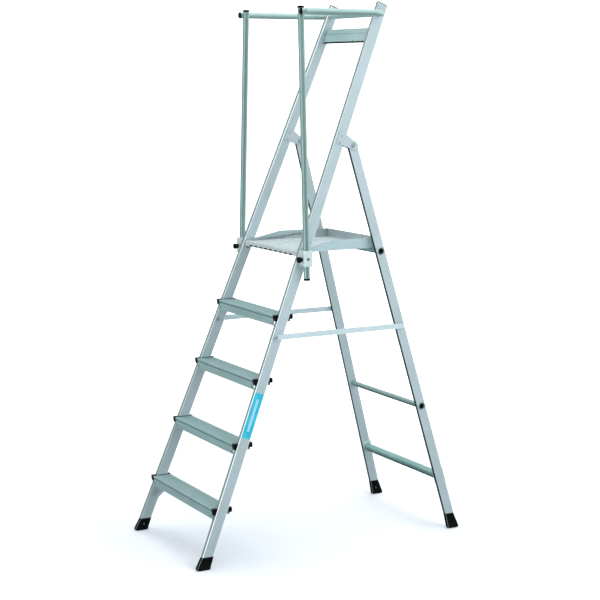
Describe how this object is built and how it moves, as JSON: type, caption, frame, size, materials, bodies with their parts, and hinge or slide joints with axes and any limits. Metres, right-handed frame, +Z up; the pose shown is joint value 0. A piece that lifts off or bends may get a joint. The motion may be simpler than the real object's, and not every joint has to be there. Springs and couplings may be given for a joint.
{
  "type": "platform step ladder",
  "caption": "Folding aluminium step ladder with broad treads, a standing platform with toe boards, a tubular guard rail around it and a braced rear support frame.",
  "frame": {"origin": "on the floor, in the middle of the box around the opened ladder", "axes": "+Z up, the climbing side faces -Y, +X is the right hand of a person climbing"},
  "size_m": [0.6202, 1.2, 2.1505],
  "materials": {
    "stile": "extruded aluminium, satin, cool grey",
    "tread": "extruded aluminium with fine ribs along the tread, satin",
    "sheet": "bent aluminium sheet, smooth",
    "tube": "drawn tube, bright",
    "brace": "drawn tube, satin, darker grey",
    "steel": "zinc plated",
    "cast": "satin block, machined bore",
    "plastic": "moulded, black",
    "foot": "moulded rubber, black"
  },
  "bodies": {
    "front_frame": {"front_stile_left": "stile", "front_stile_right": "stile", "stile_plug_left": "plastic", "stile_plug_right": "plastic", "front_foot_left": "foot", "front_foot_right": "foot", "tread_1": "tread", "tread_2": "tread", "tread_3": "tread", "tread_4": "tread", "tread_cap_1_left": "plastic", "tread_cap_1_right": "plastic", "tread_cap_2_left": "plastic", "tread_cap_2_right": "plastic", "tread_cap_3_left": "plastic", "tread_cap_3_right": "plastic", "tread_cap_4_left": "plastic", "tread_cap_4_right": "plastic", "tread_stay_left": "stile", "tread_stay_right": "stile", "back_rail": "sheet", "hinge_gusset_outer_left": "stile", "hinge_gusset_outer_right": "stile", "hinge_gusset_inner_left": "stile", "hinge_gusset_inner_right": "stile", "hinge_pin_left": "steel", "hinge_pin_right": "steel", "platform_pivot_left": "steel", "platform_pivot_right": "steel", "tie_bolt_left": "steel", "tie_bolt_right": "steel"},
    "rear_frame": {"rear_leg_left": "stile", "rear_leg_right": "stile", "rear_foot_left": "foot", "rear_foot_right": "foot", "platform_rest_tube": "tube", "upper_brace": "tube", "lower_brace": "brace", "brace_bracket_left": "steel", "brace_bracket_right": "steel"},
    "platform": {"platform_deck": "sheet", "platform_side_left": "sheet", "platform_side_right": "sheet"},
    "guard": {"guard_bow": "tube", "bow_cap_left": "plastic", "bow_cap_right": "plastic", "bow_bolt_left": "steel", "bow_bolt_right": "steel"},
    "tie_left": {"tie_bar_left": "stile"},
    "clamp_left": {"post_clamp_left": "cast"},
    "post_left": {"guard_post_left": "tube", "post_top_cap_left": "plastic", "post_bottom_cap_left": "plastic"},
    "knob_left": {"star_knob_left": "plastic"},
    "tie_right": {"tie_bar_right": "stile"},
    "clamp_right": {"post_clamp_right": "cast"},
    "post_right": {"guard_post_right": "tube", "post_top_cap_right": "plastic", "post_bottom_cap_right": "plastic"},
    "knob_right": {"star_knob_right": "plastic"}
  },
  "joints": [
    {"name": "rear_fold", "type": "hinge", "parent": "front_frame", "child": "rear_frame", "pos_m": [0, 0.12736, 1.59115], "axis": [-1, 0, 0], "range_deg": [0, 36.5]},
    {"name": "platform_fold", "type": "hinge", "parent": "front_frame", "child": "platform", "pos_m": [0, -0.1083, 1.166], "axis": [1, 0, 0], "range_deg": [0, 68.3]},
    {"name": "guard_fold", "type": "hinge", "parent": "front_frame", "child": "guard", "pos_m": [0, 0.25952, 2.103], "axis": [1, 0, 0], "range_deg": [0, 68.2]},
    {"name": "tie_fold_left", "type": "hinge", "parent": "front_frame", "child": "tie_left", "pos_m": [-0.266, -0.23799, 0.86468], "axis": [-0.9986, 0, 0.0537], "range_deg": [0, 111.7]},
    {"name": "clamp_swing_left", "type": "hinge", "parent": "front_frame", "child": "clamp_left", "pos_m": [-0.2736, -0.1083, 1.166], "axis": [-0.9981, 0.0622, 0], "range_deg": [0, 21.3]},
    {"name": "post_slide_left", "type": "slide", "parent": "clamp_left", "child": "post_left", "axis": [-0.0484, 0, -0.9988], "range_m": [0, 0.298]},
    {"name": "knob_turn_left", "type": "hinge", "parent": "clamp_left", "child": "knob_left", "pos_m": [-0.2736, -0.1083, 1.16], "axis": [0, 1, 0], "continuous": true},
    {"name": "tie_fold_right", "type": "hinge", "parent": "front_frame", "child": "tie_right", "pos_m": [0.266, -0.23799, 0.86468], "axis": [-0.9986, 0, -0.0537], "range_deg": [0, 111.7]},
    {"name": "clamp_swing_right", "type": "hinge", "parent": "front_frame", "child": "clamp_right", "pos_m": [0.2736, -0.1083, 1.166], "axis": [-0.9981, -0.0622, 0], "range_deg": [0, 21.3]},
    {"name": "post_slide_right", "type": "slide", "parent": "clamp_right", "child": "post_right", "axis": [0.0484, 0, -0.9988], "range_m": [0, 0.298]},
    {"name": "knob_turn_right", "type": "hinge", "parent": "clamp_right", "child": "knob_right", "pos_m": [0.2736, -0.1083, 1.16], "axis": [0, 1, 0], "continuous": true}
  ],
  "couplings": [
    {"joint": "platform_fold", "follows": "rear_fold", "ratio": 1.87},
    {"joint": "tie_fold_left", "follows": "rear_fold", "ratio": 3.06},
    {"joint": "clamp_swing_left", "follows": "guard_fold", "ratio": 0.3117},
    {"joint": "post_slide_left", "follows": "guard_fold", "m_per_rad": 0.25},
    {"joint": "tie_fold_right", "follows": "rear_fold", "ratio": 3.06},
    {"joint": "clamp_swing_right", "follows": "guard_fold", "ratio": 0.3117},
    {"joint": "post_slide_right", "follows": "guard_fold", "m_per_rad": 0.25}
  ]
}
